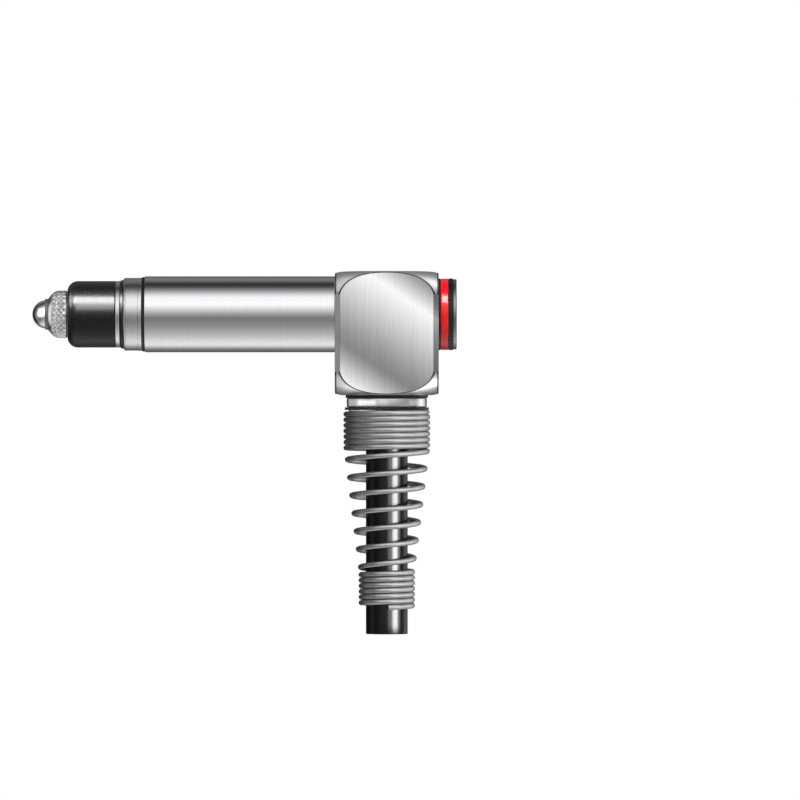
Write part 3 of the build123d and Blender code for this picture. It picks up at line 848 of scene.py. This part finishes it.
def addReturnSpring():
    spring = {"front": 0.57, "rear": 5.8, "mean": 1.625, "wire": 0.125, "turns": 6, "steps": 40}
    count = spring["turns"] * spring["steps"]
    start = spring["front"] + spring["wire"]
    reach = spring["rear"] - spring["front"] - 2 * spring["wire"]
    points = [(start + reach * step / count,
               spring["mean"] * cos(2 * pi * step / spring["steps"]),
               spring["mean"] * sin(2 * pi * step / spring["steps"])) for step in range(count + 1)]
    piece = wireAlong("returnSpring", points, spring["wire"], around=4)
    piece.data.materials.append(wireSteel)
    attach(piece, "housing")
    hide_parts("return_spring")
    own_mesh(piece)


addCollarSeal()
addGland()
addReliefSpring()
addReturnSpring()
print("cable outlet made")


# Finishes of the pieces that stay as the frame has them

def dress(names, material):
    for name in names:
        data = nodes[name].data
        data.materials.clear()
        data.materials.append(material)


# case-hardened and ground: a dark bright steel
dress(["plunger_shaft", "guide_pin", "core_rod", "guide_balls", "guide_race", "key_sleeve"],
      plainFinish("groundHardenedSteel", "#AEAEB3", "#C2C2C6",
                  {"Metallic": 1.0}, 0.2, (0.1, 6, 6)))
# hydrogen-annealed nickel iron: a soft grey lustre
dress(["magnetic_core", "shield_sleeve"],
      plainFinish("annealedNickelIron", "#97979A", "#A9A9AA",
                  {"Metallic": 1.0}, 0.42, (0.3, 1, 1)))
# turned brass: yellow and bright between its tool lines
dress(["core_nut", "ball_cage", "terminal_pins"],
      plainFinish("turnedBrass", "#C99B4A", "#DDB564",
                  {"Metallic": 1.0}, 0.26, (0.1, 5, 5)))
dress(["cable_ferrule"],
      plainFinish("turnedFerruleBrass", "#C99B4A", "#DDB564",
                  {"Metallic": 1.0}, 0.28, (5, 5, 0.1)))
dress(["spring_seat"], turnedMetal)
dress(["gland_washer"], turnedUpright)
# glass-filled nylon, moulded: ivory with a faint mottle
dress(["coil_bobbin"],
      plainFinish("mouldedGlassFilledNylon", "#C9C2A8", "#D9D3BC", {"IOR": 1.53}, 0.45,
                  (0.3, 0.3, 0.3)))


def woundCopper():
    # enamelled copper wire in layers: an orange-brown sheen, ribbed turn by turn
    wire = 0.1  # mm
    material = newMaterial("enamelledCopperWire", {
        "Metallic": 1.0, "Coat Weight": 0.4, "Coat Roughness": 0.15})
    split = addNode(material, "ShaderNodeSeparateXYZ", {"Vector": fromAxis(material, False)})
    turns = addNode(material, "ShaderNodeMath", {
        0: split.outputs["X"], 1: 2 * pi / (wire * mm)}, operation="MULTIPLY")
    ribs = addNode(material, "ShaderNodeMath", {0: turns.outputs[0]}, operation="SINE")
    finish(material, ribs.outputs[0], ("#7E3A1B", "#C46E3E"), (0.28, 0.32), 0.02, (-1, 1))
    return material


def braidedTin():
    # tinned copper braid: two sets of strands crossing round the cores
    braid = {"strands": 12.0, "rise": 0.9}  # strands round the cores, and mm between them along
    material = newMaterial("tinnedCopperBraid", {"Metallic": 1.0})
    split = addNode(material, "ShaderNodeSeparateXYZ", {"Vector": fromAxis(material, True)})
    turn = addNode(material, "ShaderNodeMath", {
        0: split.outputs["Y"], 1: split.outputs["X"]}, operation="ARCTAN2")
    waves = []
    for side in (1, -1):
        climb = addNode(material, "ShaderNodeMath", {
            0: split.outputs["Z"], 1: side * 2 * pi / (braid["rise"] * mm)}, operation="MULTIPLY")
        phase = addNode(material, "ShaderNodeMath", {
            0: turn.outputs[0], 1: braid["strands"], 2: climb.outputs[0]},
            operation="MULTIPLY_ADD")
        waves.append(addNode(material, "ShaderNodeMath", {0: phase.outputs[0]}, operation="SINE"))
    weave = addNode(material, "ShaderNodeMath", {
        0: waves[0].outputs[0], 1: waves[1].outputs[0]}, operation="MULTIPLY")
    finish(material, weave.outputs[0], ("#8E8E90", "#D8D8DA"), (0.33, 0.37), 0.03, (-1, 1))
    return material


dress(["primary_coil", "secondary_coil_front", "secondary_coil_rear"], woundCopper())
dress(["cable_braid"], braidedTin())
# glass-epoxy laminate under green resist: a woven look through a gloss
dress(["terminal_board"],
      plainFinish("greenGlassEpoxy", "#12552F", "#1C6B3E", {"IOR": 1.55}, 0.35, (0.2, 0.2, 0.2)))
# reflowed tin: bright, faintly crazed
dress(["solder_joints"],
      plainFinish("reflowedTin", "#B8B8BA", "#D0D0D2", {"Metallic": 1.0}, 0.25,
                  (0.15, 0.15, 0.15), 0.004))
dress(["gland_seal"], seal)
# tinned copper strands at the cut end: dull orange with silver flecks
dress(["core_conductors"],
      plainFinish("strandedCopper", "#B87443", "#D8A47C", {"Metallic": 1.0}, 0.3,
                  (0.08, 0.08, 0.08), 0.01))
# extruded insulation: plain colours with a soft gloss
for number, (dark, light) in enumerate([("#A81418", "#B81E20"), ("#DEDED8", "#EBEBE6"),
                                        ("#0F6B2C", "#187A36"), ("#D6A818", "#E2B828")], 1):
    dress([f"core_wire_{number}"],
          plainFinish(f"extrudedInsulation{number}", dark, light, {"IOR": 1.5}, 0.35,
                      (0.3, 0.3, 2.0)))
print("finishes of the inner pieces made")


# Studio: floor, soft light and lamps

def whiteFloor():
    # matt white paper under the probe, where its shadow falls; to the camera it is partly plain
    # white there and wholly so further off, with distances in metres
    plainness = {"near": 0.12, "far": 0.4, "share": 0.5}
    material = newMaterial("mattWhitePaper", {"Base Color": linear("#F2F2F2"), "Roughness": 0.9})
    tree = material.node_tree
    shader = tree.nodes["Principled BSDF"]
    spot = addNode(material, "ShaderNodeTexCoord")
    away = addNode(material, "ShaderNodeVectorMath", {
        0: spot.outputs["Object"]}, operation="LENGTH")
    beyond = addNode(material, "ShaderNodeMapRange", {
        "Value": away.outputs["Value"], "From Min": plainness["near"],
        "From Max": plainness["far"], "To Min": plainness["share"]},
        interpolation_type="SMOOTHSTEP")
    seen = addNode(material, "ShaderNodeLightPath")
    share = addNode(material, "ShaderNodeMath", {
        0: beyond.outputs["Result"], 1: seen.outputs["Is Camera Ray"]}, operation="MULTIPLY")
    plain = addNode(material, "ShaderNodeEmission", {"Color": (1, 1, 1, 1), "Strength": 1.0})
    mixed = addNode(material, "ShaderNodeMixShader", {
        0: share.outputs[0], 1: shader.outputs["BSDF"], 2: plain.outputs["Emission"]})
    tree.links.new(mixed.outputs[0], tree.nodes["Material Output"].inputs["Surface"])
    return material


def addFloor():
    floor = {"size": 12.0, "height": -0.07}  # metres
    bpy.ops.mesh.primitive_plane_add(size=floor["size"])
    sheet = bpy.context.active_object
    sheet.name = "studioFloor"
    bpy.ops.object.mode_set(mode="EDIT")
    bpy.ops.transform.translate(value=(0, 0, floor["height"]))
    bpy.ops.mesh.subdivide(number_cuts=3)
    bpy.ops.object.mode_set(mode="OBJECT")
    sheet.data.materials.append(whiteFloor())
    sheet.visible_glossy = False


def addSoftRoom():
    # soft boxes and dark cards round the probe, as (degrees, level): bands by the angle above the
    # way to the camera, and sides by the angle to the right of it, for what lies far to a side
    room = {"bands": [(-180, 0.02), (-140, 0.19), (-125, 0.42), (-110, 1.1), (-98, 1.1),
                      (-62, 0.62), (-36, 0.37), (-11, 0.22), (0, 0.46), (13, 0.86), (25, 1.32),
                      (33, 1.46), (42, 1.34), (53, 1.34), (60, 1.06), (66, 0.78), (73, 0.48),
                      (81, 0.27), (89, 0.1), (98, 0.03), (107, 0.03), (118, 0.17), (130, 0.26),
                      (146, 0.2), (180, 0.02)],
            "sides": [(-180, 0.1), (-150, 0.03), (-112, 0.03), (-90, 0.36), (-66, 0.1),
                      (-20, 0.3), (40, 0.45), (60, 0.4), (72, 0.42), (82, 0.12), (98, 0.12),
                      (108, 0.8), (120, 0.95), (138, 0.95), (155, 0.7), (180, 0.1)],
            "sidesFrom": 0.35, "sidesFull": 0.8}
    world = bpy.data.worlds.new("softRoom")
    bpy.context.scene.world = world
    world.use_nodes = True
    spot = addNode(world, "ShaderNodeTexCoord")
    split = addNode(world, "ShaderNodeSeparateXYZ", {"Vector": spot.outputs["Generated"]})
    towards = addNode(world, "ShaderNodeMath", {
        0: split.outputs["Y"], 1: -1.0}, operation="MULTIPLY")
    ramps = []
    for axis, stopList in (("Z", room["bands"]), ("X", room["sides"])):
        angle = addNode(world, "ShaderNodeMath", {
            0: split.outputs[axis], 1: towards.outputs[0]}, operation="ARCTAN2")
        turn = addNode(world, "ShaderNodeMapRange", {
            "Value": angle.outputs[0], "From Min": -pi, "From Max": pi})
        ramp = addNode(world, "ShaderNodeValToRGB", {"Fac": turn.outputs["Result"]})
        stops = ramp.color_ramp.elements
        stops[0].position, stops[1].position = 0.0, 1.0
        for degrees, level in stopList[1:-1]:
            stops.new((degrees + 180) / 360)
        for stop, (degrees, level) in zip(stops, stopList):
            stop.color = (level, level, level, 1)
        ramps.append(ramp.outputs["Color"])
    aside = addNode(world, "ShaderNodeMath", {0: split.outputs["X"]}, operation="ABSOLUTE")
    share = addNode(world, "ShaderNodeMapRange", {
        "Value": aside.outputs[0], "From Min": room["sidesFrom"], "From Max": room["sidesFull"]},
        interpolation_type="SMOOTHSTEP")
    around = addNode(world, "ShaderNodeMix", {
        0: share.outputs["Result"], 6: ramps[0], 7: ramps[1]}, data_type="RGBA")
    seen = addNode(world, "ShaderNodeLightPath")
    whole = addNode(world, "ShaderNodeMix", {
        0: seen.outputs["Is Camera Ray"], 6: around.outputs[2], 7: (1, 1, 1, 1)}, data_type="RGBA")
    background = world.node_tree.nodes["Background"]
    world.node_tree.links.new(whole.outputs[2], background.inputs["Color"])


def addLamp(name, away, azimuth, rise, spot, width, depth, radiance, *lit):
    # a soft box at an azimuth and rise in degrees from the camera's side, facing the spot (x, z)
    # in mm; it lights the named pieces alone, and the room's bands do the rest
    side, up = radians(azimuth), radians(rise)
    far = Vector((sin(side) * cos(up), -cos(side) * cos(up), sin(up))) * away
    bpy.ops.object.light_add(type="AREA", location=far + Vector((spot[0], 0, spot[1])) * mm,
                             rotation=(pi / 2 - up, 0, side))
    lamp = bpy.context.active_object
    lamp.name = name
    lamp.data.shape = "RECTANGLE"
    lamp.data.size, lamp.data.size_y = width, depth
    lamp.data.energy = radiance * pi * width * depth
    receivers = bpy.data.collections.new(name + "Receivers")
    for piece in lit:
        receivers.objects.link(nodes[piece] if piece in nodes else bpy.data.objects[piece])
    lamp.light_linking.receiver_collection = receivers


def addLamps():
    # name, distance in m, azimuth, rise, spot, width and depth in m, radiance, and what it lights
    lamps = [
        ("keyBox", 0.35, 0, 50, (cableX, 0), 0.2, 0.15, 17.0, "markerRing", "studioFloor",
         "coil_bobbin", "terminal_board", "core_wire_1", "core_wire_2", "core_wire_3",
         "core_wire_4"),
        ("gaiterBox", 0.35, -10, 50, (-15, 0), 0.36, 0.15, 34.0, "gaiterSleeve"),
        ("gaiterFill", 0.35, 0, 27, (-15, 0), 0.2, 0.13, 10.0, "gaiterSleeve"),
        ("gaiterNoseBox1", 0.35, -52, 43, (-17, 0), 0.27, 0.13, 11.0, "gaiterSleeve"),
        ("gaiterNoseBox2", 0.35, -88, 29, (-17, 0), 0.27, 0.13, 11.0, "gaiterSleeve"),
        ("holderBox", 0.15, -88, 0, (-19.5, 0), 0.12, 0.2, 0.85, "contactHolder"),
        ("holderTop", 0.15, -10, 70, (-19.5, 0), 0.2, 0.16, 0.4, "contactHolder"),
        ("cableBox", 0.25, 47, 0, (cableX, -31), 0.13, 0.09, 30.0, "cableJacket"),
        ("cableFill", 0.25, 42, 0, (cableX, -31), 0.34, 0.09, 5.0, "cableJacket"),
        ("springBox", 0.25, 62, 0, (cableX, -18), 0.5, 0.3, 1.1, "strainReliefSpring"),
        ("tipBox", 0.03, -42, 12, (-20.35, 0), 0.044, 0.038, 1.3, "contactBall"),
        ("glandBox1", 0.25, -116, 0, (cableX, -9), 0.24, 0.06, 0.6, "cableGland"),
        ("glandBox2", 0.25, -62, 0, (cableX, -9), 0.27, 0.06, 1.6, "cableGland"),
        ("glandBox3", 0.25, -18, 0, (cableX, -9), 0.2, 0.06, 0.38, "cableGland"),
        ("glandBox4", 0.25, 3, 0, (cableX, -9), 0.2, 0.06, 0.15, "cableGland"),
        ("glandBox5", 0.25, 98, 0, (cableX, -9), 0.27, 0.06, 0.55, "cableGland"),
        ("crownBox1", 0.2, -104, 46, (cableX, -2), 0.17, 0.17, 0.6, "outletBlock"),
        ("crownBox2", 0.2, 100, 52, (cableX, -2), 0.17, 0.17, 0.75, "outletBlock"),
        ("crownBox3", 0.2, -104, -46, (cableX, -2), 0.17, 0.17, 0.6, "outletBlock"),
        ("crownBox4", 0.2, 100, -52, (cableX, -2), 0.17, 0.17, 1.25, "outletBlock")]
    for lamp in lamps:
        addLamp(*lamp)


addFloor()
addSoftRoom()
addLamps()
view = bpy.context.scene.view_settings
view.view_transform = "Standard"
print("studio made")
